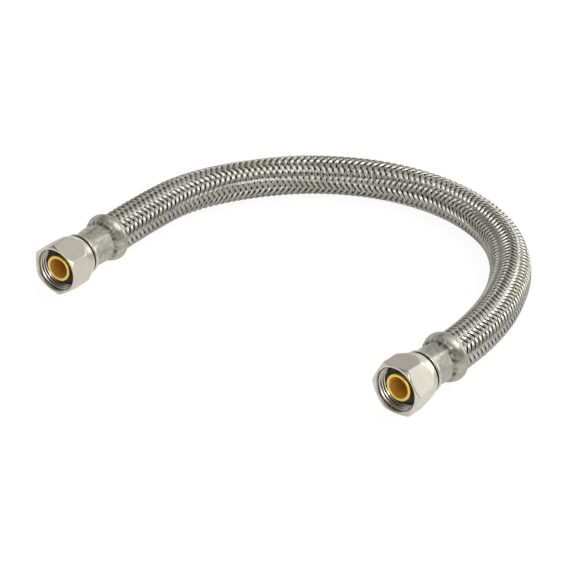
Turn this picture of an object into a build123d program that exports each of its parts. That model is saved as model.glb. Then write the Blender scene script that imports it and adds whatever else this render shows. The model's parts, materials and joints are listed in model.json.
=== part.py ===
from build123d import *

import os
from math import cos, pi, radians, sin, tan

# Braided supply line, 12 in long, with a 3/8 in compression swivel nut at each end. Millimetres.
# The origin is the centre of the inlet nut's mouth, +Y runs from that mouth into the hose, and +Z is up.
# Both fittings' axes lie in the plane Z = 0. "Depth" is the distance from a nut's mouth along its axis.

# Where the two fittings lie
OUTLET_MOUTH = (128.0, 0.0, 0.0)
OUTLET_HEADING = 83.5  # degrees from +X, from the outlet's mouth into the hose
INLET_HEX_ROLL = 33.5  # degrees from the horizontal to the nearest corner
OUTLET_HEX_ROLL = 2.5

# Depth where the ferrule's crimped stretch ends; the inlet's stands further out of its nut
INLET_CRIMP_END = 23.2
OUTLET_CRIMP_END = 20.7

# Swivel nut
ACROSS_FLATS = 15.875
CORNER_RADIUS = ACROSS_FLATS / 2 / cos(radians(30))
CLEAR_OF_CORNERS = CORNER_RADIUS + 0.05
NUT_LENGTH = 11.8
FRONT_CONE_RADIUS = 8.0  # the front's 30 degree cone trims the corners from here
BACK_CONE_DEPTH = 6.5  # the long back cone starts at the corners here
BACK_CONE_END = (9.4, 7.95)  # (depth, radius)
COLLAR_END = (11.5, 7.25)
NUT_END_RADIUS = 7.0
MOUTH_RADIUS = 7.4
MOUTH_CHAMFER = 0.3
THREAD_MAJOR_RADIUS = 7.14  # 9/16-24 UNEF
THREAD_LAND_DEPTH = 1.5
RELIEF_RADIUS = 7.35
RELIEF_DEPTH = 9.0
RELIEF_CONE_RADIUS = 6.7
SHOULDER_DEPTH = 10.4
SHOULDER_RADIUS = 6.3
RING_SEAT_DEPTH = 10.95
RING_SEAT_RADIUS = 6.62

# Slip ring that the nut turns on
RING_START_DEPTH = RING_SEAT_DEPTH + 0.1
RING_SLEEVE_RADIUS = 6.54
RING_LIP_RADIUS = 7.0
RING_LIP_DEPTH = 12.65
RING_END_DEPTH = 14.1
RING_BORE_RADIUS = 6.3

# Brass stem
NOSE_DEPTH = 1.6
NOSE_RADIUS = 4.45
NOSE_BORE_RADIUS = 3.45
SHANK_RADIUS = 4.15
FLANGE_RADIUS = 6.5
FLANGE_DEPTH = 8.4
FLANGE_BACK = 9.8
TAIL_RADIUS = 3.9
TAIL_BORE_RADIUS = 3.0
TAIL_SHORT_OF_CRIMP = 0.3
BARB_RADIUS = 4.18
BARB_PITCH = 2.0

# Rubber cone washer
WASHER_DEPTH = 3.4
WASHER_RADIUS = 6.4
WASHER_FACE_RADIUS = 6.1
WASHER_CONE_LENGTH = 0.6
WASHER_BORE_RADIUS = SHANK_RADIUS + 0.02

# Crimp ferrule: a neck, a crimped stretch that widens, a step and a bead.
# Places on the step and bead are (distance past the crimp's end, radius).
FERRULE_DEPTH = 9.9
FERRULE_WALL = 0.5
FERRULE_BORE_RADIUS = SHANK_RADIUS + 0.05
NECK_RADIUS = 6.1
CRIMP_LENGTH = 6.4
CRIMP_END_RADIUS = 6.6
BEAD_START = (1.5, 7.2)
BEAD_TOP = (3.9, 8.1)
BEAD_END = (5.9, 7.3)
LIP_LENGTH = 0.4
LIP_BORE_RADIUS = 6.85

# Hose layers, from the bore outwards: outer radius where free, at the crimp's end, and at the neck
BORE_RADII = (3.8, 4.2, 4.2)
LAYER_RADII = {
    "inner_tube": (5.0, 4.95, 4.75),
    "yarn_layer": (5.3, 5.2, 4.88),
    "outer_tube": (6.0, 5.6, 5.2),
    "steel_braid": (6.75, 6.0, 5.55),
}
HOSE_END_DEPTH = 10.6
FREE_PAST_CRIMP = 2.6  # where the hose has its free size again
JOIN_PAST_CRIMP = 4.3  # where the straight end of each layer meets the bent run
ARC_SHARE = 0.45  # of the shorter run beside a corner, taken up by the corner's arc

SMALL_EDGE = 0.3


class End:
    """One end fitting's place: its mouth, its axis into the hose, and the planes to draw on."""

    def __init__(self, name, mouth, heading, hex_roll, crimp_end):
        self.name = name
        self.mouth = Vector(*mouth)
        self.axis = Vector(cos(radians(heading)), sin(radians(heading)), 0)
        self.side = Vector(sin(radians(heading)), -cos(radians(heading)), 0)
        self.hex_roll = hex_roll
        self.crimp_end = crimp_end
        self.crimp_start = crimp_end - CRIMP_LENGTH
        self.line = Axis(self.mouth, self.axis)
        # local X is the depth and local Y the radius, upwards
        self.section = Plane(self.mouth, x_dir=self.axis, z_dir=self.side)
        self.face = Plane(self.mouth, x_dir=self.side, z_dir=-self.axis)

    def at(self, depth):
        return self.mouth + self.axis * depth

    def past_crimp(self, place):
        distance, radius = place
        return (self.crimp_end + distance, radius)


INLET = End("inlet", (0, 0, 0), 90, INLET_HEX_ROLL, INLET_CRIMP_END)
OUTLET = End("outlet", OUTLET_MOUTH, OUTLET_HEADING, OUTLET_HEX_ROLL, OUTLET_CRIMP_END)

# Corners of the hose's route between the two fittings; it leaves each one along its axis
ROUTE = [
    INLET.at(INLET_CRIMP_END + JOIN_PAST_CRIMP),
    INLET.at(47.5),
    Vector(1.5, 68, -0.8),
    Vector(11, 89, -1.8),
    Vector(28, 108, -2.4),
    Vector(54, 119, -2.5),
    Vector(83, 117.5, -2.5),
    Vector(108, 103, -2.4),
    Vector(125, 77, -1.4),
    OUTLET.at(44),
    OUTLET.at(OUTLET_CRIMP_END + JOIN_PAST_CRIMP),
]


def turn_profile(end, outline, mode=Mode.ADD):
    """Revolve a closed outline of (depth, radius) points about a fitting's axis."""
    with BuildSketch(end.section) as profile:
        with BuildLine():
            Polyline(*outline, close=True)
        make_face()
    revolve(profile.sketch, axis=end.line, mode=mode)


def finish(part, label):
    part.label = label
    export_step(part, f"parts/{label}.step")


def make_nut(end):
    front_cone_depth = (CLEAR_OF_CORNERS - FRONT_CONE_RADIUS) * tan(radians(30))
    with BuildPart() as nut:
        with BuildSketch(end.face):
            RegularPolygon(radius=CORNER_RADIUS, side_count=6, rotation=end.hex_roll)
        extrude(amount=-NUT_LENGTH)
        outer = [
            (0, 0),
            (0, FRONT_CONE_RADIUS),
            (front_cone_depth, CLEAR_OF_CORNERS),
            (BACK_CONE_DEPTH, CLEAR_OF_CORNERS),
            BACK_CONE_END,
            COLLAR_END,
            (NUT_LENGTH, NUT_END_RADIUS),
            (NUT_LENGTH, 0),
        ]
        turn_profile(end, outer, Mode.INTERSECT)
        bore = [
            (-1, 0),
            (-1, MOUTH_RADIUS),
            (0, MOUTH_RADIUS),
            (MOUTH_CHAMFER, THREAD_MAJOR_RADIUS),
            (THREAD_LAND_DEPTH, THREAD_MAJOR_RADIUS),
            (THREAD_LAND_DEPTH, RELIEF_RADIUS),
            (RELIEF_DEPTH, RELIEF_RADIUS),
            (SHOULDER_DEPTH, RELIEF_CONE_RADIUS),
            (SHOULDER_DEPTH, SHOULDER_RADIUS),
            (RING_SEAT_DEPTH, SHOULDER_RADIUS),
            (RING_SEAT_DEPTH, RING_SEAT_RADIUS),
            (NUT_LENGTH + 1, RING_SEAT_RADIUS),
            (NUT_LENGTH + 1, 0),
        ]
        turn_profile(end, bore, Mode.SUBTRACT)
    finish(nut.part, f"{end.name}_nut")


def make_slip_ring(end):
    with BuildPart() as ring:
        outline = [
            (RING_START_DEPTH, RING_BORE_RADIUS),
            (RING_START_DEPTH, RING_SLEEVE_RADIUS),
            (RING_LIP_DEPTH, RING_SLEEVE_RADIUS),
            (RING_LIP_DEPTH, RING_LIP_RADIUS - SMALL_EDGE),
            (RING_LIP_DEPTH + SMALL_EDGE, RING_LIP_RADIUS),
            (RING_END_DEPTH - SMALL_EDGE, RING_LIP_RADIUS),
            (RING_END_DEPTH, RING_LIP_RADIUS - SMALL_EDGE),
            (RING_END_DEPTH, RING_BORE_RADIUS),
        ]
        turn_profile(end, outline)
    finish(ring.part, f"{end.name}_slip_ring")


def make_stem(end):
    tail_end = end.crimp_end - TAIL_SHORT_OF_CRIMP
    barb_count = int((tail_end - HOSE_END_DEPTH) / BARB_PITCH)
    outline = [
        (NOSE_DEPTH, NOSE_BORE_RADIUS + SMALL_EDGE / 2),
        (NOSE_DEPTH, NOSE_RADIUS - SMALL_EDGE),
        (NOSE_DEPTH + SMALL_EDGE, NOSE_RADIUS),
        (WASHER_DEPTH, NOSE_RADIUS),
        (WASHER_DEPTH, SHANK_RADIUS),
        (FLANGE_DEPTH, SHANK_RADIUS),
        (FLANGE_DEPTH, FLANGE_RADIUS),
        (FLANGE_BACK, FLANGE_RADIUS),
        (FLANGE_BACK, SHANK_RADIUS),
        (HOSE_END_DEPTH, SHANK_RADIUS),
    ]
    for n in range(barb_count):
        barb_end = tail_end - BARB_PITCH * (barb_count - 1 - n)
        outline += [(barb_end - BARB_PITCH, TAIL_RADIUS), (barb_end - BARB_PITCH, BARB_RADIUS)]
    outline += [
        (tail_end, TAIL_RADIUS),
        (tail_end, TAIL_BORE_RADIUS),
        (FLANGE_BACK, TAIL_BORE_RADIUS),
        (FLANGE_DEPTH, NOSE_BORE_RADIUS),
        (NOSE_DEPTH + SMALL_EDGE / 2, NOSE_BORE_RADIUS),
    ]
    with BuildPart() as stem:
        turn_profile(end, outline)
    finish(stem.part, f"{end.name}_stem")


def make_washer(end):
    with BuildPart() as washer:
        outline = [
            (WASHER_DEPTH, WASHER_BORE_RADIUS),
            (WASHER_DEPTH, WASHER_FACE_RADIUS),
            (WASHER_DEPTH + WASHER_CONE_LENGTH, WASHER_RADIUS),
            (FLANGE_DEPTH, WASHER_RADIUS),
            (FLANGE_DEPTH, WASHER_BORE_RADIUS),
        ]
        turn_profile(end, outline)
    finish(washer.part, f"{end.name}_washer")


def make_ferrule(end):
    bead_start = end.past_crimp(BEAD_START)
    bead_top = end.past_crimp(BEAD_TOP)
    bead_end = end.past_crimp(BEAD_END)
    inside_start = (bead_start[0], bead_start[1] - FERRULE_WALL)
    inside_top = (bead_top[0], bead_top[1] - FERRULE_WALL)
    inside_end = (bead_end[0] - LIP_LENGTH, LIP_BORE_RADIUS)
    with BuildPart() as ferrule:
        with BuildSketch(end.section):
            with BuildLine():
                Polyline(
                    inside_start,
                    (end.crimp_end, CRIMP_END_RADIUS - FERRULE_WALL),
                    (end.crimp_start, NECK_RADIUS - FERRULE_WALL),
                    (FERRULE_DEPTH + FERRULE_WALL, NECK_RADIUS - FERRULE_WALL),
                    (FERRULE_DEPTH + FERRULE_WALL, FERRULE_BORE_RADIUS),
                    (FERRULE_DEPTH, FERRULE_BORE_RADIUS),
                    (FERRULE_DEPTH, NECK_RADIUS),
                    (end.crimp_start, NECK_RADIUS),
                    (end.crimp_end, CRIMP_END_RADIUS),
                    bead_start,
                )
                ThreePointArc(bead_start, bead_top, bead_end)
                Polyline(bead_end, (bead_end[0], LIP_BORE_RADIUS), inside_end)
                ThreePointArc(inside_end, inside_top, inside_start)
            make_face()
        revolve(axis=end.line)
    finish(ferrule.part, f"{end.name}_ferrule")


def route_radii():
    """Each corner's arc, as large as its two runs allow."""
    radii = []
    for before, corner, after in zip(ROUTE, ROUTE[1:], ROUTE[2:]):
        run_in = corner - before
        run_out = after - corner
        half_turn = radians(run_in.get_angle(run_out)) / 2
        radii.append(ARC_SHARE * min(run_in.length, run_out.length) / tan(half_turn))
    return radii


def layer_side(end, radii):
    """One side of a layer's outline from its crimped end to the join; radii are free, crimp, neck."""
    return [
        (HOSE_END_DEPTH, radii[2]),
        (end.crimp_start, radii[2]),
        (end.crimp_end, radii[1]),
        (end.crimp_end + FREE_PAST_CRIMP, radii[0]),
        (end.crimp_end + JOIN_PAST_CRIMP, radii[0]),
    ]


def make_hose_layer(name, inner, outer, arc_radii):
    with BuildPart() as layer:
        with BuildLine():
            run = FilletPolyline(*ROUTE, radius=arc_radii)
        with BuildSketch(Plane(ROUTE[0], z_dir=INLET.axis)):
            Circle(outer[0])
            Circle(inner[0], mode=Mode.SUBTRACT)
        sweep(path=run)
        section_times_length = pi * (outer[0] ** 2 - inner[0] ** 2) * run.length
        print(f"{name}: run volume {layer.part.volume:.1f}, section x length {section_times_length:.1f}")
        for end in (INLET, OUTLET):
            turn_profile(end, layer_side(end, outer) + layer_side(end, inner)[::-1])
    finish(layer.part, name)
    return run.length


def main():
    os.makedirs("parts", exist_ok=True)
    for end in (INLET, OUTLET):
        make_nut(end)
        make_slip_ring(end)
        make_stem(end)
        make_washer(end)
        make_ferrule(end)
    arc_radii = route_radii()
    inner = BORE_RADII
    for name, outer in LAYER_RADII.items():
        run_length = make_hose_layer(name, inner, outer, arc_radii)
        inner = outer
    print("route radii, mm:", [round(r, 1) for r in arc_radii])
    print("runs, mm:", [round((b - a).length, 1) for a, b in zip(ROUTE, ROUTE[1:])])
    mouth_to_mouth = run_length + INLET_CRIMP_END + OUTLET_CRIMP_END + 2 * JOIN_PAST_CRIMP
    print(f"bent run {run_length:.1f}, mouth to mouth {mouth_to_mouth:.1f}")


main()
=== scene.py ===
import json
from math import cos, pi, radians, sin, tan

import bpy
import numpy as np
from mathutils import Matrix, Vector


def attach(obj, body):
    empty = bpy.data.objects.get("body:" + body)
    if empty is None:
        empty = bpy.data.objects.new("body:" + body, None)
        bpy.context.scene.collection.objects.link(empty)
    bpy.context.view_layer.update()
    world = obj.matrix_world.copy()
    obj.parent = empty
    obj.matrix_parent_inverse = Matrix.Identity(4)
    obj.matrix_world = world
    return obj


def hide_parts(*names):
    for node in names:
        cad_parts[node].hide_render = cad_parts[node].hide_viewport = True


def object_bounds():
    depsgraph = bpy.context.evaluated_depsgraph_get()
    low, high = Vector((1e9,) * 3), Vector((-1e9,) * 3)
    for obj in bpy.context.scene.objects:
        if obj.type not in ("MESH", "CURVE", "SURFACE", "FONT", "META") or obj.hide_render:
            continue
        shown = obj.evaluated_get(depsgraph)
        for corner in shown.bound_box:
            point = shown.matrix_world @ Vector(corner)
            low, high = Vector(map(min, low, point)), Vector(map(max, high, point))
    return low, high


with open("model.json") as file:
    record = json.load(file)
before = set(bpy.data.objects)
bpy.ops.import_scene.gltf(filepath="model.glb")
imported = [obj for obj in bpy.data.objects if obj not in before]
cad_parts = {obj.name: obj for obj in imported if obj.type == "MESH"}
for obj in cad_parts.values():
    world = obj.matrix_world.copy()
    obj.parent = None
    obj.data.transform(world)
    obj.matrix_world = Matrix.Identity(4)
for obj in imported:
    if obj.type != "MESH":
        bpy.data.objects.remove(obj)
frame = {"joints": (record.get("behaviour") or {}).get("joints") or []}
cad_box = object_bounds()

# Braided supply line with a swivel nut at each end. A fitting's "depth" is the distance from its
# nut's mouth along its axis. Fitting sizes are in millimetres; everything placed is in metres.

MM = 0.001
joints = {joint["name"]: joint for joint in frame["joints"]}

# Swivel nut; outlines are lists of (depth, radius)
ACROSS_FLATS = 15.875
HEX_EDGE_ROUND = 0.3
HEX_STEPS = 16  # columns of points from a corner to the middle of a flat
FRONT_CONE_RADIUS = 8.0
FRONT_CONE_SLOPE = tan(radians(60))
NUT_LENGTH = 11.8
NUT_BACK = [(0.0, 9.3), (6.5, 9.2), (9.4, 7.95), (11.5, 7.25), (NUT_LENGTH, 7.0)]
NUT_BACK_ROUND = 0.5
NUT_BACK_STEPS = 6  # points on each rounded corner
NUT_ROWS = [(0, 1.0, 13), (1.2, 6.0, 7), (6.2, NUT_LENGTH, 40)]  # from depth, to depth, rows
NUT_MOUTH = [(0.3, 7.14), (0.06, 7.36), (0.0, 7.42)]
NUT_SHOULDER = [(9.3, 7.2), (10.4, 6.7), (10.4, 6.3), (10.95, 6.3), (10.95, 6.62), (NUT_LENGTH, 6.62)]
THREAD_MAJOR_RADIUS = 7.14
THREAD_DEPTH = 0.56
THREAD_PITCH = 25.4 / 24
THREAD_ROOT = 0.125  # of half a pitch, before the flank starts
THREAD_FLANK = 0.625  # of half a pitch
THREAD_START = 0.35
THREAD_END = 9.0
THREAD_ROWS_PER_TURN = 12
THREAD_PAINTED_SHADE = (0.35, 0.02)  # heights above the root where painted shade starts, and is full
THREAD_PAINTED_SHADE_DEPTH = (0.5, 1.0)  # depths where it starts, and is full

# Slip ring, brass nose and washer
RING_LIP_DEPTH = 12.65
SLIP_RING = [
    (11.05, 6.3),
    (11.05, 6.54),
    (RING_LIP_DEPTH, 6.54),
    (RING_LIP_DEPTH, 6.8),
    (12.85, 7.0),
    (13.7, 7.0),
    (14.1, 6.72),
    (14.1, 6.3),
]
RING_EDGE_ROUND = 0.12
# the painted shade in the groove reaches this far past the lip's front
RING_PAINTED_SHADE_PAST_LIP = 0.04
NOSE_DEPTH = 1.6
NOSE_RADIUS = 4.45
NOSE_BORE_RADIUS = 3.45
STEM_EDGE_ROUND = 0.26
SHANK_RADIUS = 4.15
FLANGE = (8.4, 9.8, 6.5)  # front, back, radius
TAIL_RADII = (3.9, 4.18)
TAIL_BORE_RADIUS = 3.0
TAIL_BEFORE_CRIMP_END = 0.3
BARB_PITCH = 2.0
BARB_STEP = 0.02
BORE_WALL = 0.05  # past the bore's radius, still the bore's surface
BORE_PAINTED_SHADE = (0.05, 0.65)  # share of painted shade, a darker brass, near the nose's rim and deep in its bore
BORE_PAINTED_SHADE_DEPTH = (NOSE_DEPTH + 1, FLANGE[0] - 1)
WASHER = [(3.4, 4.17), (3.4, 6.1), (4.0, 6.4), (FLANGE[0], 6.4), (FLANGE[0], 4.17)]
WASHER_EDGE_ROUND = 0.3

# Crimp ferrule; places on the bead are (distance past the crimp's end, radius)
FERRULE_DEPTH = 9.9
FERRULE_WALL = 0.5
FERRULE_HOLE_RADIUS = 4.2
FERRULE_BORE_RADIUS = 5.6
FERRULE_RIM = 0.15  # from the neck's radius in to the last ring of points on the front face
NECK_RADIUS = 6.1
CRIMP_LENGTH = 6.4
CRIMP_END_RADIUS = 6.6
CRIMP_SIDES = 8
CRIMP_ROLL = 0.2  # radians past the nut's hexagon
CRIMP_STEPS = 14  # columns of points from a corner to the middle of a side
CRIMP_ROWS = 40
CRIMP_EDGE_ROUND = 0.3
BEAD_BLEND = 0.7
BEAD = [
    (-0.5, 5.3),
    (0.0, 5.9),
    (0.45, 6.6),
    (0.95, 7.05),
    (1.5, 7.25),
    (2.6, 7.8),
    (3.9, 8.1),
    (4.9, 7.9),
    (5.3, 7.5),
    (5.5, 7.36),
    (5.7, 7.42),
    (5.9, 7.25),
]
BEAD_LIP = [(5.95, 7.1), (5.9, 6.95), (5.75, 6.85), (5.5, 6.85)]
WRINKLES = ((17, 0.8, 0.5), (29, 0.5, 2.1), (7, 0.7, 4.0))  # waves round it, share, phase
WRINKLE_DEPTH = 0.28
WRINKLE_SPAN = (-0.4, 0.3, 0.8, 1.9)  # past the crimp's end: start, full, full, end
# Painted shade on the step past the crimp, darkest in its creases
STEP_PAINTED_SHADE = 0.9
STEP_PAINTED_SHADE_SPAN = (-0.4, 0.1, 0.6, 1.3)
STEP_PAINTED_SHADE_EVEN = 0.25  # share of it outside the creases

# Hose
HOSE_END_DEPTH = 10.6
BRAID_RADIUS = 6.75
BRAID_CRIMPED_RADIUS = 5.55
CRIMP_TAPER = 3.6
JACKET_RADII = (6.0, 5.2)
YARN_RADII = (5.3, 4.88)
LINER_RADII = (5.0, 4.75)
BORE_RADII = (3.8, 4.2)
LAYER_ROWS = 241
LAYER_COLUMNS = 48
CARRIERS = 12  # in each direction
BRAID_LAY = 27.0  # length of one turn of a band, in the free hose
LAY_SHARE = [(0.19, 1.0), (0.225, 0.93), (0.26, 0.88)]  # of that turn: metres along the hose, share
WIRES = 5
BAND_SHARE = 0.58  # a band's width over its spacing
BAND_WAVE = 0.27
CRIMPED_WAVE = 0.6  # share of that wave where the hose is squeezed
GROOVE_DEPTH = 0.5  # between wires, as a share of a wire
BAND_CROWN = 0.12
BAND_PAINTED_SHADE = 0.52  # share of painted shade where a band passes under
BAND_PAINTED_SHADE_SPAN = (-0.7, 0.4)  # from under (-1) to over (1), where it starts to fade and is gone
RINGS_PER_CROSSING = 3
# How far the braid is turned round the hose: metres along it, degrees. A scratch program's fit to
# the photo's strokes gave a turn for every 7.5 mm; these rows follow it, thinned and adjusted by hand.
BRAID_TWIST = [
    (0.0, 37),
    (0.045, 35),
    (0.072, 17),
    (0.085, 18),
    (0.11, 35),
    (0.127, 32),
    (0.152, 15),
    (0.18, 16),
    (0.2, 9),
    (0.23, 20),
    (0.28, 18),
]

# Corners of the hose's route, in metres
ROUTE = [
    (0.0, 0.0275, 0.0),
    (0.0, 0.0475, 0.0),
    (0.0015, 0.068, -0.0008),
    (0.011, 0.089, -0.0018),
    (0.028, 0.108, -0.0024),
    (0.054, 0.119, -0.0025),
    (0.083, 0.1175, -0.0025),
    (0.108, 0.103, -0.0024),
    (0.125, 0.077, -0.0014),
    (0.132981, 0.043717, 0.0),
    (0.13083, 0.024839, 0.0),
]


class End:
    """One end fitting: its mouth and axis from the nut's swivel joint, and its hexagon's roll."""

    def __init__(self, name, hex_roll, crimp_end):
        swivel = joints[f"{name}_nut_swivel"]
        self.name = name
        self.mouth = np.array(swivel["pos_m"])
        self.axis = np.array(swivel["axis"]) / np.linalg.norm(swivel["axis"])
        self.up = np.array((0.0, 0.0, 1.0))
        self.side = np.cross(self.axis, self.up)
        self.hex_roll = radians(hex_roll)
        self.crimp_end = crimp_end

    def place(self, depth, radius, angle):
        """Points in metres; the angle is counted from the side towards up."""
        depth, radius, angle = np.broadcast_arrays(depth, radius, angle)
        outward = np.cos(angle)[..., None] * self.side + np.sin(angle)[..., None] * self.up
        return self.mouth + MM * (depth[..., None] * self.axis + radius[..., None] * outward)


INLET = End("inlet", 33.5, 23.2)
OUTLET = End("outlet", 2.5, 20.7)


# ---------------------------------------------------------------- camera, floor and lights

VIEW_AIM = Vector((0.0673, 0.0331, 0.0))
VIEW_DISTANCE = 0.732
VIEW_AZIMUTH = radians(34)
VIEW_ELEVATION = radians(29.8)
LENS = 145
FLOOR_REACH = 3.0
BEHIND_BRIGHTNESS = 1.0  # of the room, behind the object as the camera sees it
FRONT_BRIGHTNESS = 0.3
BACK_FADE = (-0.3, 0.4)  # cosines from straight behind between which the brightness changes
CEILING_SHARE = 0.35  # of that brightness, up high
CEILING_FADE = (0.2, 0.6)  # heights in a unit direction
FLOOR_GREY = 0.6
FLOOR_GLOW = (0.025, 0.05, 0.45, 0.2)  # from Y, to Y, and the glow that the metal sees at each
PAPER_GREY = 0.15
PAPER_GLOW = 0.92

# name: azimuth, elevation, distance, size, and the brightness that a mirror would show
LIGHTS = {
    "key_light": (115, 56, 1.0, 0.42, 6.0),
    "overhead_light": (214, 82, 0.9, 0.4, 1.5),
    "side_light": (130, 16, 1.0, 0.5, 0.65),
    "back_right_light": (160, 8, 1.0, 0.5, 1.6),
    "upper_light": (171, 43, 1.0, 0.45, 0.45),
    "front_light": (34, 56, 1.2, 0.22, 4.0),
    "low_front_light": (18, 14, 1.3, 0.4, 8.0),
}


def direction(azimuth, elevation):
    """A unit vector towards azimuth, where 0 is -Y and 90 degrees is +X, and elevation."""
    level = cos(elevation)
    return Vector((sin(azimuth) * level, -cos(azimuth) * level, sin(elevation)))


def add_camera():
    camera = bpy.data.objects.new("camera", bpy.data.cameras.new("camera"))
    camera.data.lens = LENS
    camera.location = VIEW_AIM + VIEW_DISTANCE * direction(VIEW_AZIMUTH, VIEW_ELEVATION)
    camera.rotation_euler = (pi / 2 - VIEW_ELEVATION, 0, VIEW_AZIMUTH)
    bpy.context.scene.collection.objects.link(camera)
    bpy.context.scene.camera = camera


def add_light(name, azimuth, elevation, distance, size, brightness):
    """A square soft light that faces the object."""
    light = bpy.data.lights.new(name, "AREA")
    light.size = size
    light.energy = brightness * pi * size**2
    holder = bpy.data.objects.new(name, light)
    towards = direction(radians(azimuth), radians(elevation))
    holder.location = VIEW_AIM + distance * towards
    holder.rotation_euler = towards.to_track_quat("Z", "Y").to_euler()
    holder.visible_camera = False
    bpy.context.scene.collection.objects.link(holder)


def join_by_ray(tree, output, other_shader, camera_shader):
    """Give the camera one shader and every reflection another."""
    seen = tree.nodes.new("ShaderNodeLightPath")
    mix = tree.nodes.new("ShaderNodeMixShader")
    tree.links.new(seen.outputs["Is Camera Ray"], mix.inputs["Fac"])
    tree.links.new(other_shader.outputs[0], mix.inputs[1])
    tree.links.new(camera_shader.outputs[0], mix.inputs[2])
    tree.links.new(mix.outputs[0], output.inputs["Surface"])


def fade(tree, value, spans):
    """A smooth change; spans are from value, to value, and the result at each."""
    node = tree.nodes.new("ShaderNodeMapRange")
    node.interpolation_type = "SMOOTHSTEP"
    for socket, number in zip(("From Min", "From Max", "To Min", "To Max"), spans):
        node.inputs[socket].default_value = number
    tree.links.new(value, node.inputs["Value"])
    return node.outputs["Result"]


def add_world():
    """A dim studio, lighter behind the object, that the camera sees as white paper."""
    world = bpy.data.worlds.new("studio")
    world.use_nodes = True
    tree = world.node_tree
    room = tree.nodes["Background"]
    room.inputs["Color"].default_value = (1, 1, 1, 1)
    compass = tree.nodes.new("ShaderNodeVectorMath")
    compass.operation = "DOT_PRODUCT"
    compass.inputs[1].default_value = -direction(VIEW_AZIMUTH, 0)
    place = tree.nodes.new("ShaderNodeTexCoord")
    tree.links.new(place.outputs["Generated"], compass.inputs[0])
    split = tree.nodes.new("ShaderNodeSeparateXYZ")
    tree.links.new(place.outputs["Generated"], split.inputs[0])
    level = fade(tree, compass.outputs["Value"], (*BACK_FADE, FRONT_BRIGHTNESS, BEHIND_BRIGHTNESS))
    ceiling = fade(tree, split.outputs["Z"], (*CEILING_FADE, 1.0, CEILING_SHARE))
    strength = tree.nodes.new("ShaderNodeMath")
    strength.operation = "MULTIPLY"
    tree.links.new(level, strength.inputs[0])
    tree.links.new(ceiling, strength.inputs[1])
    tree.links.new(strength.outputs[0], room.inputs["Strength"])
    paper = tree.nodes.new("ShaderNodeBackground")
    paper.inputs["Color"].default_value = (1, 1, 1, 1)
    join_by_ray(tree, tree.nodes["World Output"], room, paper)
    bpy.context.scene.world = world


def paper_shader(tree, grey, glow=0.0):
    shader = tree.nodes.new("ShaderNodeBsdfPrincipled")
    shader.inputs["Base Color"].default_value = (grey, grey, grey, 1)
    shader.inputs["Roughness"].default_value = 0.9
    shader.inputs["Specular IOR Level"].default_value = 0.1
    shader.inputs["Emission Color"].default_value = (1, 1, 1, 1)
    shader.inputs["Emission Strength"].default_value = glow
    return shader


def add_floor():
    """Pale paper, whiter to the camera than to the metal that reflects it."""
    level = cad_box[0][2]
    signs = [(-1, -1), (1, -1), (1, 1), (-1, 1)]
    mesh = bpy.data.meshes.new("floor")
    mesh.from_pydata([(FLOOR_REACH * x, FLOOR_REACH * y, level) for x, y in signs], [], [(0, 1, 2, 3)])
    floor = bpy.data.objects.new("floor", mesh)
    bpy.context.scene.collection.objects.link(floor)
    material = bpy.data.materials.new("floor_paper")
    material.use_nodes = True
    tree = material.node_tree
    reflected = paper_shader(tree, FLOOR_GREY)
    place = tree.nodes.new("ShaderNodeTexCoord")
    split = tree.nodes.new("ShaderNodeSeparateXYZ")
    tree.links.new(place.outputs["Object"], split.inputs[0])
    glow = fade(tree, split.outputs["Y"], FLOOR_GLOW)
    tree.links.new(glow, reflected.inputs["Emission Strength"])
    seen = paper_shader(tree, PAPER_GREY, PAPER_GLOW)
    join_by_ray(tree, tree.nodes["Material Output"], reflected, seen)
    mesh.materials.append(material)


add_camera()
add_world()
add_floor()
for light_name, settings in LIGHTS.items():
    add_light(light_name, *settings)
bpy.context.scene.view_settings.view_transform = "Standard"


# ---------------------------------------------------------------- materials

DRILLED_ROUGHNESS = 0.42  # that a drilled bore has over a turned face


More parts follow.
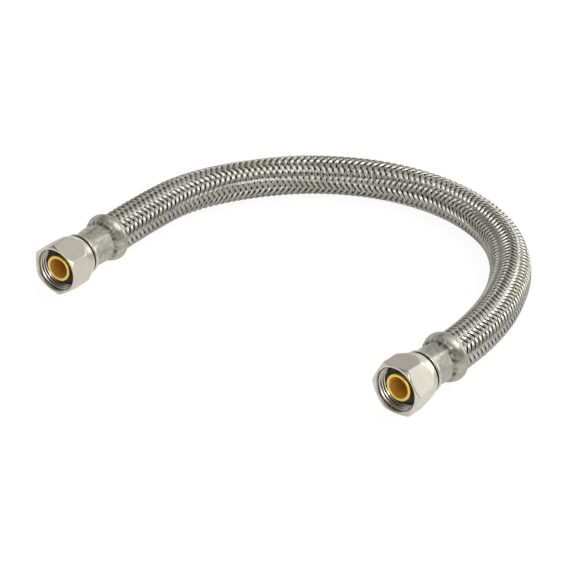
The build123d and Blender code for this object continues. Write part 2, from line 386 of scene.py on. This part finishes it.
class Look:
    """A material under construction: a Principled shader and the textures that feed it."""

    def __init__(self, name, **constants):
        self.material = bpy.data.materials.new(name)
        self.material.use_nodes = True
        self.tree = self.material.node_tree
        self.shader = self.tree.nodes["Principled BSDF"]
        self.place = self.add("ShaderNodeTexCoord").outputs["Object"]
        for socket, value in constants.items():
            self.shader.inputs[socket.replace("_", " ")].default_value = value

    def add(self, kind, **inputs):
        node = self.tree.nodes.new(kind)
        for socket, value in inputs.items():
            self.feed(node.inputs[socket], value)
        return node

    def feed(self, socket, value):
        if isinstance(value, bpy.types.NodeSocket):
            self.tree.links.new(value, socket)
        else:
            socket.default_value = value

    def noise(self, size, detail=3.0, stretch=(1, 1, 1)):
        """Noise from 0 to 1 whose features are about size metres across."""
        mapping = self.add("ShaderNodeMapping", Vector=self.place, Scale=stretch)
        options = dict(Scale=1 / size, Detail=detail)
        return self.add("ShaderNodeTexNoise", Vector=mapping.outputs[0], **options).outputs["Fac"]

    def span(self, value, low, high, start=0.3, end=0.7):
        """A value from low to high as the given one goes from start to end."""
        node = self.tree.nodes.new("ShaderNodeMapRange")
        for socket, number in (("From Min", start), ("From Max", end), ("To Min", low), ("To Max", high)):
            node.inputs[socket].default_value = number
        self.feed(node.inputs["Value"], value)
        return node.outputs["Result"]

    def base(self, noise, dark, light):
        """The base colour, between dark and light."""
        node = self.tree.nodes.new("ShaderNodeMix")
        node.data_type = "RGBA"
        sockets = [socket for socket in node.inputs if socket.type == "RGBA"]
        self.feed(node.inputs["Factor"], self.span(noise, 0, 1))
        self.feed(sockets[0], (*dark, 1))
        self.feed(sockets[1], (*light, 1))
        output = [socket for socket in node.outputs if socket.type == "RGBA"][0]
        self.feed(self.shader.inputs["Base Color"], output)

    def painted_shade(self, colour, roughness, metallic=0.0):
        """Painted shade: a darker shader mixed over the metal, as much as a mesh attribute named like
        this method says.
        """
        shader = self.add("ShaderNodeBsdfPrincipled", Roughness=roughness, Metallic=metallic)
        shader.inputs["Base Color"].default_value = (*colour, 1)
        share = self.add("ShaderNodeAttribute")
        share.attribute_name = "painted_shade"
        mix = self.add("ShaderNodeMixShader", Fac=share.outputs["Fac"])
        self.tree.links.new(self.shader.outputs[0], mix.inputs[1])
        self.tree.links.new(shader.outputs[0], mix.inputs[2])
        self.tree.links.new(mix.outputs[0], self.tree.nodes["Material Output"].inputs["Surface"])

    def rough(self, noise, low, high):
        self.feed(self.shader.inputs["Roughness"], self.span(noise, low, high))

    def relief(self, height, depth, strength=1.0):
        bump = self.add("ShaderNodeBump", Height=height, Distance=depth, Strength=strength)
        self.feed(self.shader.inputs["Normal"], bump.outputs["Normal"])


def make_nickel():
    look = Look("nickel_plate", Metallic=1.0)
    look.base(look.noise(0.004), (0.65, 0.615, 0.52), (0.71, 0.67, 0.57))
    look.rough(look.noise(0.0012, 5), 0.26, 0.34)
    look.relief(look.noise(0.0003, 4), 0.000004, 0.3)
    # Painted shade: near-black nickel over the nut's thread roots and shoulder, and in the slip ring's
    # groove
    look.painted_shade((0.02, 0.019, 0.017), 0.5)
    return look.material


def make_stainless():
    look = Look("stainless_sheet", Metallic=1.0)
    look.base(look.noise(0.0014, 5), (0.38, 0.374, 0.32), (0.57, 0.56, 0.483))
    look.rough(look.noise(0.001, 5), 0.32, 0.5)
    look.relief(look.noise(0.0006, 4), 0.00007, 0.7)
    # Painted shade: near-black stainless over the step past the crimp
    look.painted_shade((0.03, 0.029, 0.026), 0.5)
    return look.material


def make_braid_wire():
    look = Look("braid_wire", Metallic=1.0)
    look.base(look.noise(0.0025), (0.6, 0.59, 0.52), (0.72, 0.71, 0.63))
    look.rough(look.noise(0.0008, 3), 0.24, 0.34)
    # Painted shade: near-black wire where a band passes under
    look.painted_shade((0.02, 0.02, 0.018), 0.5)
    return look.material


def make_brass():
    look = Look("brass", Metallic=1.0)
    look.base(look.noise(0.003), (0.88, 0.63, 0.12), (0.95, 0.71, 0.19))
    drilled = look.add("ShaderNodeAttribute")
    drilled.attribute_name = "drilled"
    rough = look.add("ShaderNodeMath")
    rough.operation = "MULTIPLY_ADD"
    look.feed(rough.inputs[0], drilled.outputs["Fac"])
    rough.inputs[1].default_value = DRILLED_ROUGHNESS
    look.feed(rough.inputs[2], look.span(look.noise(0.001, 4), 0.3, 0.42))
    look.feed(look.shader.inputs["Roughness"], rough.outputs[0])
    look.relief(look.noise(0.0004, 3), 0.00003, 0.5)
    # Painted shade: a darker, redder brass deep in the bore
    look.painted_shade((0.7, 0.3, 0.008), 0.5, 1.0)
    return look.material


def make_rubber():
    look = Look("black_rubber")
    look.base(look.noise(0.001, 5), (0.012, 0.012, 0.012), (0.03, 0.03, 0.029))
    look.rough(look.noise(0.0007, 4), 0.45, 0.65)
    look.relief(look.noise(0.0004, 4), 0.00002, 0.4)
    return look.material


def make_plastic(name, dark, light, smoothest):
    look = Look(name)
    look.base(look.noise(0.003, 4), dark, light)
    look.rough(look.noise(0.001, 4), smoothest, smoothest + 0.15)
    return look.material


NICKEL = make_nickel()
STAINLESS = make_stainless()
BRAID_WIRE = make_braid_wire()
BRASS = make_brass()
RUBBER = make_rubber()
JACKET = make_plastic("jacket_plastic", (0.006, 0.006, 0.006), (0.014, 0.014, 0.013), 0.5)
YARN = make_plastic("polyester_yarn", (0.55, 0.55, 0.52), (0.75, 0.75, 0.72), 0.7)
LINER = make_plastic("liner_plastic", (0.5, 0.5, 0.48), (0.62, 0.62, 0.6), 0.35)


# ---------------------------------------------------------------- meshes


def add_piece(mesh, body, slot, material, *stands_for):
    piece = bpy.data.objects.new(mesh.name, mesh)
    bpy.context.scene.collection.objects.link(piece)
    mesh.materials.append(material)
    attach(piece, body)
    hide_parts(*stands_for)
    return piece


def grid_faces(rows, columns, rows_close):
    """Faces of a grid of points that closes round its columns, and its rows too if asked."""
    index = np.arange(rows * columns).reshape(rows, columns)
    ahead = np.roll(index, -1, axis=0)
    if not rows_close:
        index = index[:-1]
        ahead = ahead[:-1]
    around = np.roll(index, -1, axis=1)
    corner = np.roll(ahead, -1, axis=1)
    return np.stack([index, ahead, corner, around], axis=-1).reshape(-1, 4)


def ring_mesh(name, points, sharp_degrees=40):
    """A ring-shaped mesh from rows of points round it, the last row joining the first."""
    rows, columns = points.shape[:2]
    mesh = bpy.data.meshes.new(name)
    mesh.from_pydata(points.reshape(-1, 3), [], grid_faces(rows, columns, True))
    mesh.shade_smooth()
    mesh.set_sharp_from_angle(angle=radians(sharp_degrees))
    return mesh


def points_of(mesh):
    points = np.empty(len(mesh.vertices) * 3, np.float32)
    mesh.vertices.foreach_get("co", points)
    return points.reshape(-1, 3)


def add_attribute(mesh, name, values):
    attribute = mesh.attributes.new(name, "FLOAT", "POINT")
    attribute.data.foreach_set("value", np.ascontiguousarray(values, dtype=np.float32).ravel())


def round_corners(outline, radius, steps=4):
    """A closed outline with each corner turned into a small arc, or a smaller one on a short side."""
    corners = np.array(outline, float)
    result = []
    for before, corner, after in zip(np.roll(corners, 1, 0), corners, np.roll(corners, -1, 0)):
        back = before - corner
        ahead = after - corner
        reach = min(radius, 0.45 * np.linalg.norm(back), 0.45 * np.linalg.norm(ahead))
        start = corner + back / np.linalg.norm(back) * reach
        end = corner + ahead / np.linalg.norm(ahead) * reach
        for t in np.linspace(0, 1, steps):
            result.append((1 - t) ** 2 * start + 2 * t * (1 - t) * corner + t**2 * end)
    return np.array(result)


def turned_mesh(name, end, outline, edge, columns=144):
    """A closed outline of (depth, radius) points turned about the fitting's axis."""
    profile = round_corners(outline, edge)
    angles = np.linspace(0, 2 * pi, columns, endpoint=False)
    points = end.place(profile[:, :1], profile[:, 1:], angles)
    return ring_mesh(name, points)


def smooth_min(a, b, width):
    """The smaller of two radii, with the edge where they meet rounded off."""
    share = np.clip(0.5 + 0.5 * (b - a) / width, 0, 1)
    return b + (a - b) * share - width * share * (1 - share)


def polygon_radius(angle, first_corner, sides, inner_radius, edge):
    """Radius of a regular polygon with rounded corners."""
    sector = 2 * pi / sides
    turn = np.mod(angle - first_corner, sector)
    steepest = pi / 2 - 0.1
    near = inner_radius / np.cos(turn - sector / 2)
    before = inner_radius / np.cos(np.minimum(turn + sector / 2, steepest))
    after = inner_radius / np.cos(np.minimum(1.5 * sector - turn, steepest))
    return smooth_min(smooth_min(near, before, edge), after, edge)


def corner_angles(first_corner, sides, steps, crowding=1.7):
    """Angles round a polygon, closer together towards its corners."""
    sector = 2 * pi / sides
    near = sector / 2 * np.linspace(0, 1, steps + 1) ** crowding
    one = np.concatenate([near[:-1], (sector - near[::-1])[:-1]])
    return np.concatenate([first_corner + n * sector + one for n in range(sides)])


def step_up(value, start, end):
    """0 before start, 1 after end, and smooth between."""
    share = np.clip((value - start) / (end - start), 0, 1)
    return share * share * (3 - 2 * share)


def rise_and_fall(value, span):
    """0, then 1 between the middle two of the span's four values, then 0 again."""
    start, full, still_full, end = span
    return step_up(value, start, full) * (1 - step_up(value, still_full, end))


def from_table(value, table):
    """Interpolation in a table of (value, result) rows."""
    values, results = zip(*table)
    return np.interp(value, values, results)


def depths_of(mesh, end):
    """How far each point is from the fitting's mouth along its axis."""
    return (points_of(mesh) - end.mouth) @ end.axis / MM


def unshaded(rows, columns):
    """Zero painted shade, for rows of points that get none."""
    return np.zeros((rows, columns))


def smooth_line(points, steps=8):
    """A Catmull-Rom curve through points."""
    points = [np.array(point, float) for point in points]
    ends = [2 * points[0] - points[1], *points, 2 * points[-1] - points[-2]]
    result = []
    for p0, p1, p2, p3 in zip(ends, ends[1:], ends[2:], ends[3:]):
        for t in np.linspace(0, 1, steps, endpoint=False):
            straight = p1 + 0.5 * t * (p2 - p0)
            bend = t**2 * (p0 - 2.5 * p1 + 2 * p2 - 0.5 * p3)
            twist = 0.5 * t**3 * (3 * p1 - p0 - 3 * p2 + p3)
            result.append(straight + bend + twist)
    result.append(points[-1])
    return np.array(result)


# ---------------------------------------------------------------- end fittings


def thread_radius(depth, angle):
    """A right-hand internal thread that fades in from the mouth and out at the relief."""
    turn = np.mod(depth / THREAD_PITCH + angle / (2 * pi), 1)
    ridge = np.clip((np.abs(2 * turn - 1) - THREAD_ROOT) / THREAD_FLANK, 0, 1)
    fade_in = np.clip((depth - THREAD_START) / THREAD_PITCH, 0, 1)
    fade_out = np.clip((THREAD_END - depth) / THREAD_PITCH, 0, 1)
    return THREAD_MAJOR_RADIUS - THREAD_DEPTH * ridge * fade_in * fade_out


def make_nut(end):
    angle = corner_angles(end.hex_roll, 6, HEX_STEPS)
    hexagon = polygon_radius(angle, end.hex_roll, 6, ACROSS_FLATS / 2, HEX_EDGE_ROUND)
    outline = [(-NUT_BACK[0][1], 0), *NUT_BACK, (NUT_LENGTH, 0)]
    back = round_corners(outline, NUT_BACK_ROUND, NUT_BACK_STEPS)[NUT_BACK_STEPS:-NUT_BACK_STEPS]
    outside = np.concatenate([np.linspace(*rows) for rows in NUT_ROWS])[:, None]
    back_radius = np.interp(outside[:, 0], back[:, 0], back[:, 1])[:, None]
    front_radius = FRONT_CONE_RADIUS + FRONT_CONE_SLOPE * outside
    body = smooth_min(hexagon, front_radius, HEX_EDGE_ROUND)
    body = smooth_min(body, back_radius, HEX_EDGE_ROUND)
    shoulder = np.array(NUT_SHOULDER[::-1])
    turns = (THREAD_END - THREAD_START) / THREAD_PITCH
    inside = np.linspace(THREAD_END, THREAD_START, int(turns * THREAD_ROWS_PER_TURN))[:, None]
    mouth = np.array(NUT_MOUTH)
    rows = [
        end.place(outside, body, angle),
        end.place(shoulder[:, :1], shoulder[:, 1:], angle),
        end.place(inside, thread_radius(inside, angle), angle),
        end.place(mouth[:, :1], mouth[:, 1:], angle),
    ]
    mesh = ring_mesh(f"{end.name}_swivel_nut", np.concatenate(rows), sharp_degrees=35)
    columns = len(angle)
    # Painted shade: near-black in the thread's roots, more of it deeper in the nut, and all over the
    # shoulder behind the thread
    shaded_radii = [THREAD_MAJOR_RADIUS - height for height in THREAD_PAINTED_SHADE]
    thread_painted_shade = step_up(thread_radius(inside, angle), *shaded_radii)
    thread_painted_shade = thread_painted_shade * step_up(inside, *THREAD_PAINTED_SHADE_DEPTH)
    shoulder_painted_shade = np.ones((len(shoulder), columns))
    painted_shade = [unshaded(*body.shape), shoulder_painted_shade, thread_painted_shade, unshaded(len(mouth), columns)]
    add_attribute(mesh, "painted_shade", np.concatenate(painted_shade))
    add_piece(mesh, f"{end.name}_nut", "nickel_plate", NICKEL, f"{end.name}_nut")


def make_slip_ring(end):
    mesh = turned_mesh(f"{end.name}_turning_ring", end, SLIP_RING, RING_EDGE_ROUND)
    # Painted shade: the groove in front of the lip is near-black
    add_attribute(mesh, "painted_shade", depths_of(mesh, end) < RING_LIP_DEPTH + RING_PAINTED_SHADE_PAST_LIP)
    add_piece(mesh, f"{end.name}_slip_ring", "nickel_plate", NICKEL, f"{end.name}_slip_ring")


def make_stem(end):
    front, back, flange_radius = FLANGE
    tail_end = end.crimp_end - TAIL_BEFORE_CRIMP_END
    outline = [
        (NOSE_DEPTH, NOSE_BORE_RADIUS),
        (NOSE_DEPTH, NOSE_RADIUS),
        (WASHER[0][0], NOSE_RADIUS),
        (WASHER[0][0], SHANK_RADIUS),
        (front, SHANK_RADIUS),
        (front, flange_radius),
        (back, flange_radius),
        (back, SHANK_RADIUS),
        (HOSE_END_DEPTH, SHANK_RADIUS),
    ]
    barbs = int((tail_end - HOSE_END_DEPTH) / BARB_PITCH)
    for n in range(barbs):
        start = tail_end - BARB_PITCH * (barbs - n)
        outline += [(start, TAIL_RADII[0]), (start + BARB_STEP, TAIL_RADII[1])]
    outline += [
        (tail_end, TAIL_RADII[0]),
        (tail_end, TAIL_BORE_RADIUS),
        (back, TAIL_BORE_RADIUS),
        (front, NOSE_BORE_RADIUS),
    ]
    mesh = turned_mesh(f"{end.name}_brass_stem", end, outline, STEM_EDGE_ROUND)
    from_axis = np.linalg.norm(np.cross(points_of(mesh) - end.mouth, end.axis), axis=1) / MM
    drilled = from_axis < NOSE_BORE_RADIUS + BORE_WALL
    add_attribute(mesh, "drilled", drilled)
    # Painted shade: the bore's brass gets darker deeper in
    add_attribute(mesh, "painted_shade", drilled * np.interp(depths_of(mesh, end), BORE_PAINTED_SHADE_DEPTH, BORE_PAINTED_SHADE))
    add_piece(mesh, "hose", "brass", BRASS, f"{end.name}_stem")


def make_washer(end):
    mesh = turned_mesh(f"{end.name}_cone_washer", end, WASHER, WASHER_EDGE_ROUND)
    add_piece(mesh, "hose", "rubber", RUBBER, f"{end.name}_washer")


def make_ferrule(end):
    roll = end.hex_roll + CRIMP_ROLL
    angle = corner_angles(roll, CRIMP_SIDES, CRIMP_STEPS)
    bead = smooth_line(BEAD)
    tube_rows = np.linspace(FERRULE_DEPTH - end.crimp_end, BEAD[0][0], CRIMP_ROWS, endpoint=False)
    distance = np.concatenate([tube_rows, bead[:, 0]])[:, None]
    swell = (distance + CRIMP_LENGTH) / CRIMP_LENGTH
    cone = NECK_RADIUS + (CRIMP_END_RADIUS - NECK_RADIUS) * np.maximum(swell, 0)
    prism = polygon_radius(angle, roll, CRIMP_SIDES, NECK_RADIUS, CRIMP_EDGE_ROUND)
    tube = smooth_min(prism, cone, CRIMP_EDGE_ROUND)
    bead_radius = np.interp(distance[:, 0], bead[:, 0], bead[:, 1], left=0)[:, None]
    outside = -smooth_min(-tube, -bead_radius, BEAD_BLEND)
    wave = sum(share * np.sin(count * angle + phase) for count, share, phase in WRINKLES)
    crease = np.clip(0.5 + 0.5 * wave, 0, 1)
    outside = outside - WRINKLE_DEPTH * rise_and_fall(distance, WRINKLE_SPAN) * crease
    front_radii = (FERRULE_HOLE_RADIUS, NECK_RADIUS - FERRULE_RIM)
    front = np.array([(FERRULE_DEPTH, radius) for radius in front_radii])
    lip = np.array(BEAD_LIP)
    inner_rows = slice(1, -6, 3)
    hollow = distance[inner_rows][::-1][:-2]
    inside = np.maximum(outside[inner_rows] - FERRULE_WALL, FERRULE_BORE_RADIUS)[::-1][:-2]
    cap_radii = (FERRULE_BORE_RADIUS, FERRULE_HOLE_RADIUS)
    cap = np.array([(FERRULE_DEPTH + FERRULE_WALL, radius) for radius in cap_radii])
    rows = [
        end.place(front[:, :1], front[:, 1:], angle),
        end.place(end.crimp_end + distance, outside, angle),
        end.place(end.crimp_end + lip[:, :1], lip[:, 1:], angle),
        end.place(end.crimp_end + hollow, inside, angle),
        end.place(cap[:, :1], cap[:, 1:], angle),
    ]
    mesh = ring_mesh(f"{end.name}_crimp_ferrule", np.concatenate(rows))
    columns = len(angle)
    # Painted shade on the step past the crimp, darkest in its creases
    creased = STEP_PAINTED_SHADE_EVEN + (1 - STEP_PAINTED_SHADE_EVEN) * crease**2
    step_painted_shade = STEP_PAINTED_SHADE * rise_and_fall(distance, STEP_PAINTED_SHADE_SPAN) * creased
    unseen_rows = len(lip) + len(hollow) + len(cap)
    painted_shade = [unshaded(len(front), columns), step_painted_shade, unshaded(unseen_rows, columns)]
    add_attribute(mesh, "painted_shade", np.concatenate(painted_shade))
    add_piece(mesh, "hose", "stainless", STAINLESS, f"{end.name}_ferrule")


# ---------------------------------------------------------------- hose


def route_line():
    """Points along the route's spline."""
    curve = bpy.data.curves.new("hose_route", "CURVE")
    curve.dimensions = "3D"
    curve.resolution_u = 64
    spline = curve.splines.new("NURBS")
    spline.points.add(len(ROUTE) - 1)
    for point, corner in zip(spline.points, ROUTE):
        point.co = (*corner, 1)
    spline.order_u = 3
    spline.use_endpoint_u = True
    holder = bpy.data.objects.new("hose_route", curve)
    mesh = bpy.data.meshes.new_from_object(holder)
    line = np.array([vertex.co for vertex in mesh.vertices], float)
    bpy.data.meshes.remove(mesh)
    bpy.data.objects.remove(holder)
    bpy.data.curves.remove(curve)
    return line


class Hose:
    """The hose's centreline, with directions across it that don't twist along it."""

    def __init__(self, line, step=0.0004):
        lengths = np.concatenate([[0], np.cumsum(np.linalg.norm(np.diff(line, axis=0), axis=1))])
        self.length = lengths[-1]
        count = int(self.length / step)
        self.stations = np.linspace(0, self.length, count)
        self.centre = np.stack([np.interp(self.stations, lengths, line[:, n]) for n in range(3)], 1)
        tangent = np.gradient(self.centre, self.stations, axis=0)
        self.tangent = tangent / np.linalg.norm(tangent, axis=1)[:, None]
        self.curvature = np.gradient(self.tangent, self.stations, axis=0)
        across = [np.array((0.0, 0.0, 1.0))]
        for along in self.tangent[1:]:
            level = across[-1] - along * (across[-1] @ along)
            across.append(level / np.linalg.norm(level))
        self.across = np.array(across)
        self.over = np.cross(self.tangent, self.across)

    def look_up(self, table, station):
        return np.stack([np.interp(station, self.stations, table[:, n]) for n in range(3)], -1)

    def outward(self, station, angle):
        across = self.look_up(self.across, station)
        over = self.look_up(self.over, station)
        return np.cos(angle)[..., None] * across + np.sin(angle)[..., None] * over

    def place(self, station, radius, angle):
        """Points at a length along the hose, a radius and an angle round it, all in metres."""
        station, radius, angle = np.broadcast_arrays(station, radius, angle)
        beyond = (station - np.clip(station, 0, self.length))[..., None]
        line = self.look_up(self.centre, station) + beyond * self.look_up(self.tangent, station)
        return line + radius[..., None] * self.outward(station, angle)

    def stretch(self, station, radius, angle):
        """How much longer a line along the hose is there than the centreline."""
        pull = self.look_up(self.curvature, station) * self.outward(station, angle)
        return 1 - radius * pull.sum(-1)

    def crimped(self, station):
        """1 where the hose is squeezed onto a stem, 0 where it is free."""
        from_inlet = station / MM + HOSE_END_DEPTH - INLET.crimp_end
        from_outlet = (self.length - station) / MM + HOSE_END_DEPTH - OUTLET.crimp_end
        return 1 - step_up(np.minimum(from_inlet, from_outlet), 0, CRIMP_TAPER)


def make_layer(hose, name, outer, inner, slot, material, stands_for):
    """A tube of one of the hose's layers; outer and inner are (free, crimped) radii."""
    stations = np.linspace(0, hose.length, LAYER_ROWS)[:, None]
    angle = np.linspace(0, 2 * pi, LAYER_COLUMNS, endpoint=False)
    crimp = hose.crimped(stations)
    outside = MM * (outer[0] + crimp * (outer[1] - outer[0]))
    inside = MM * (inner[0] + crimp * (inner[1] - inner[0]))
    points = [hose.place(stations, outside, angle), hose.place(stations, inside, angle)[::-1]]
    mesh = ring_mesh(name, np.concatenate(points))
    return add_piece(mesh, "hose", slot, material, stands_for)


def braid_angle():
    """Angle of a band from the hose's axis."""
    return np.arctan(2 * pi * BRAID_RADIUS / BRAID_LAY)


def band_turn(hose):
    """How far a band has wound round the hose at each of the hose's stations."""
    lay = MM * BRAID_LAY * from_table(hose.stations, LAY_SHARE)
    return np.concatenate([[0], np.cumsum(2 * pi * np.diff(hose.stations) / lay[1:])])


def band_profile():
    """Across a band of side-by-side wires: each point's offset and lift, and a wire's thickness."""
    spacing = 2 * pi * BRAID_RADIUS / CARRIERS * cos(braid_angle())
    width = BAND_SHARE * spacing
    wire = width / WIRES
    count = 2 * WIRES + 1
    offsets = np.linspace(-width / 2, width / 2, count)
    crest = np.arange(count) % 2 == 1
    crown = BAND_CROWN * (1 - (2 * offsets / width) ** 2) - BAND_CROWN
    lifts = crown + np.where(crest, wire / 2, (0.5 - GROOVE_DEPTH) * wire)
    lifts[[0, -1]] = -wire / 2
    return offsets, lifts, wire


def mark_grooves(mesh, count):
    """Sharp edges between the wires of each band, so that each wire looks round."""
    ends = np.empty(len(mesh.edges) * 2, int)
    mesh.edges.foreach_get("vertices", ends)
    across = ends.reshape(-1, 2) % count
    groove = (across[:, 0] == across[:, 1]) & (across[:, 0] % 2 == 0)
    sharp = mesh.attributes.new("sharp_edge", "BOOLEAN", "EDGE")
    sharp.data.foreach_set("value", groove)


def make_braid(hose, name, hand, carriers):
    """Some of the bands that wind one way, woven over two and under two that wind the other."""
    offsets, lifts, wire = band_profile()
    crossing = BRAID_LAY / (2 * CARRIERS)
    rings = int(hose.length / MM / crossing * RINGS_PER_CROSSING)
    station = np.linspace(0, hose.length, rings)[:, None]
    wound = band_turn(hose)
    lean = braid_angle()
    crimp = hose.crimped(station)
    wave = BAND_WAVE * (1 + crimp * (CRIMPED_WAVE - 1))
    top = BRAID_RADIUS + crimp * (BRAID_CRIMPED_RADIUS - BRAID_RADIUS)
    middle = top - wave - wire / 2
    count = len(offsets)
    points = []
    painted_shade = []
    quads = []
    for n, carrier in enumerate(carriers):
        line_angle = 2 * pi * carrier / CARRIERS + hand * np.interp(station, hose.stations, wound)
        turned = np.radians(from_table(station, BRAID_TWIST))
        stretch = hose.stretch(station, MM * middle, line_angle + turned)
        along = station - hand * MM * offsets * sin(lean) / stretch
        angle = line_angle + offsets * cos(lean) / middle
        other = (angle + hand * np.interp(along, hose.stations, wound)) * CARRIERS / (2 * pi)
        weave = np.cos(pi / 2 * (other + carrier) - pi / 4)
        weave = weave * (1.5 - 0.5 * weave**2)  # stays over, or under, for longer
        radius = middle + hand * wave * weave + lifts
        turned = np.radians(from_table(along, BRAID_TWIST))
        points.append(hose.place(along, MM * radius, angle + turned))
        # Painted shade where a band dives under the other hand's bands
        painted_shade.append(BAND_PAINTED_SHADE * (1 - step_up(hand * weave, *BAND_PAINTED_SHADE_SPAN)))
        first = n * rings * count
        last = first + (rings - 1) * count
        quads += (grid_faces(rings, count, False) + first).tolist()
        quads.append(list(range(first, first + count)))
        quads.append(list(range(last + count - 1, last - 1, -1)))
    mesh = bpy.data.meshes.new(name)
    mesh.from_pydata(np.concatenate(points).reshape(-1, 3), [], quads)
    mesh.shade_smooth()
    mark_grooves(mesh, count)
    add_attribute(mesh, "painted_shade", np.concatenate(painted_shade))
    return add_piece(mesh, "hose", "braid_wire", BRAID_WIRE, "steel_braid")


def make_hose():
    start = INLET.place(HOSE_END_DEPTH, 0, 0)
    finish = OUTLET.place(HOSE_END_DEPTH, 0, 0)
    hose = Hose(np.concatenate([[start], route_line(), [finish]]))
    layers = [
        make_layer(hose, "jacket", JACKET_RADII, YARN_RADII, "pvc", JACKET, "outer_tube"),
        make_layer(hose, "yarn_sleeve", YARN_RADII, LINER_RADII, "yarn", YARN, "yarn_layer"),
        make_layer(hose, "liner", LINER_RADII, BORE_RADII, "pvc", LINER, "inner_tube"),
    ]
    half = CARRIERS // 2
    for hand, side in ((1, "right"), (-1, "left")):
        for group in (0, 1):
            carriers = range(group * half, (group + 1) * half)
            make_braid(hose, f"braid_{side}_{group + 1}", hand, carriers)
    INLET.place(INLET.crimp_end + BEAD[-1][0], 0, 0)


for end in (INLET, OUTLET):
    make_nut(end)
    make_slip_ring(end)
    make_stem(end)
    make_washer(end)
    make_ferrule(end)
make_hose()
